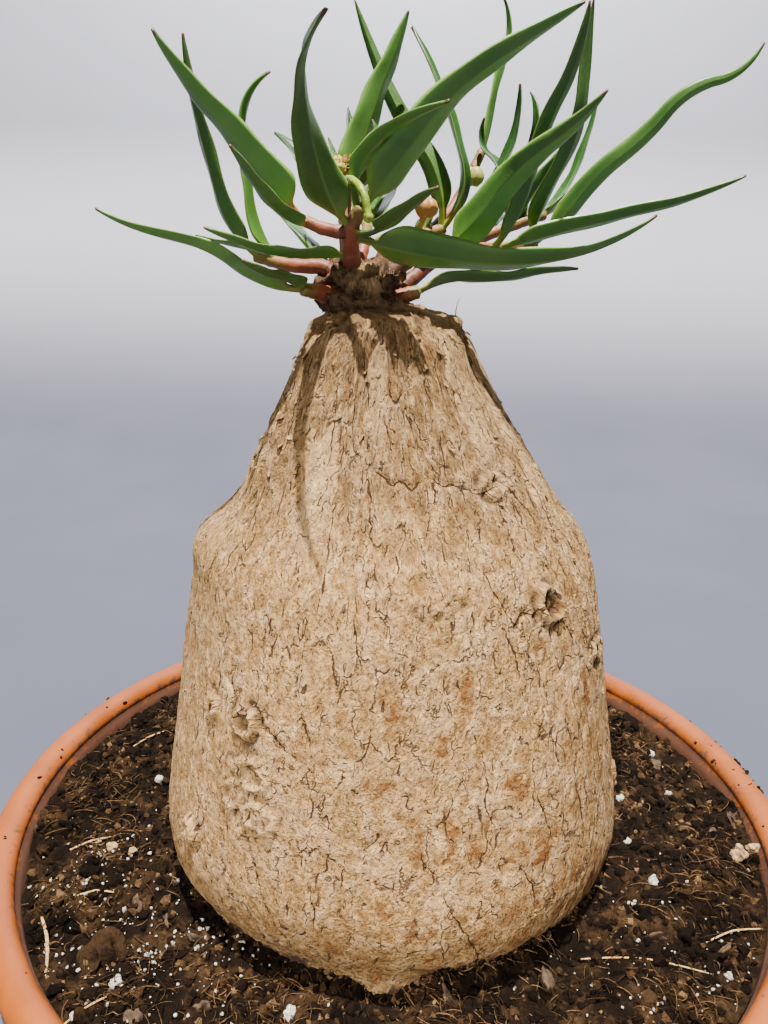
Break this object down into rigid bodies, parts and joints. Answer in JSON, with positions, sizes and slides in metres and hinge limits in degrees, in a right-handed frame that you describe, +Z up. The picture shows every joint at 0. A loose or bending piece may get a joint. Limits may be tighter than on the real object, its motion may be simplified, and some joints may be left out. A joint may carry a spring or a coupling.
{
  "type": "potted caudex plant",
  "caption": "Bottle-shaped barky caudex with a crown of narrow leafy shoots, standing in soil in a round terracotta-coloured plastic pot.",
  "frame": {"origin": "middle of the pot's flat foot, on the surface that it stands on", "axes": "+Z up through the pot and the caudex, -Y towards the side that the picture shows, +X to its right"},
  "size_m": [0.17, 0.17, 0.3017],
  "materials": {
    "pot": "satin terracotta-coloured plastic",
    "soil": "loose dark peat with fibres and white grit",
    "bark": "dry, finely fissured tan bark",
    "leaf": "smooth, slightly waxy green leaf on reddish stems",
    "stem": "smooth reddish to tan stem",
    "stalk": "smooth yellow-green stalk",
    "flower": "matt, downy yellow-brown",
    "fruit": "smooth, pale green to orange-tan"
  },
  "bodies": {
    "root": {"pot": "pot", "soil": "soil", "caudex": "bark", "front_shoot": "leaf", "left_shoot": "leaf", "low_left_shoot": "leaf", "right_shoot": "leaf", "back_right_shoot": "leaf", "far_back_shoot": "leaf", "crown_back_shoot": "leaf", "rear_shoot": "leaf", "rear_left_shoot": "leaf", "low_right_shoot": "leaf", "behind_right_shoot": "leaf", "hooked_stalk": "stalk", "flower_cluster": "flower", "capsule_right": "fruit", "capsule_back": "fruit"}
  },
  "joints": []
}
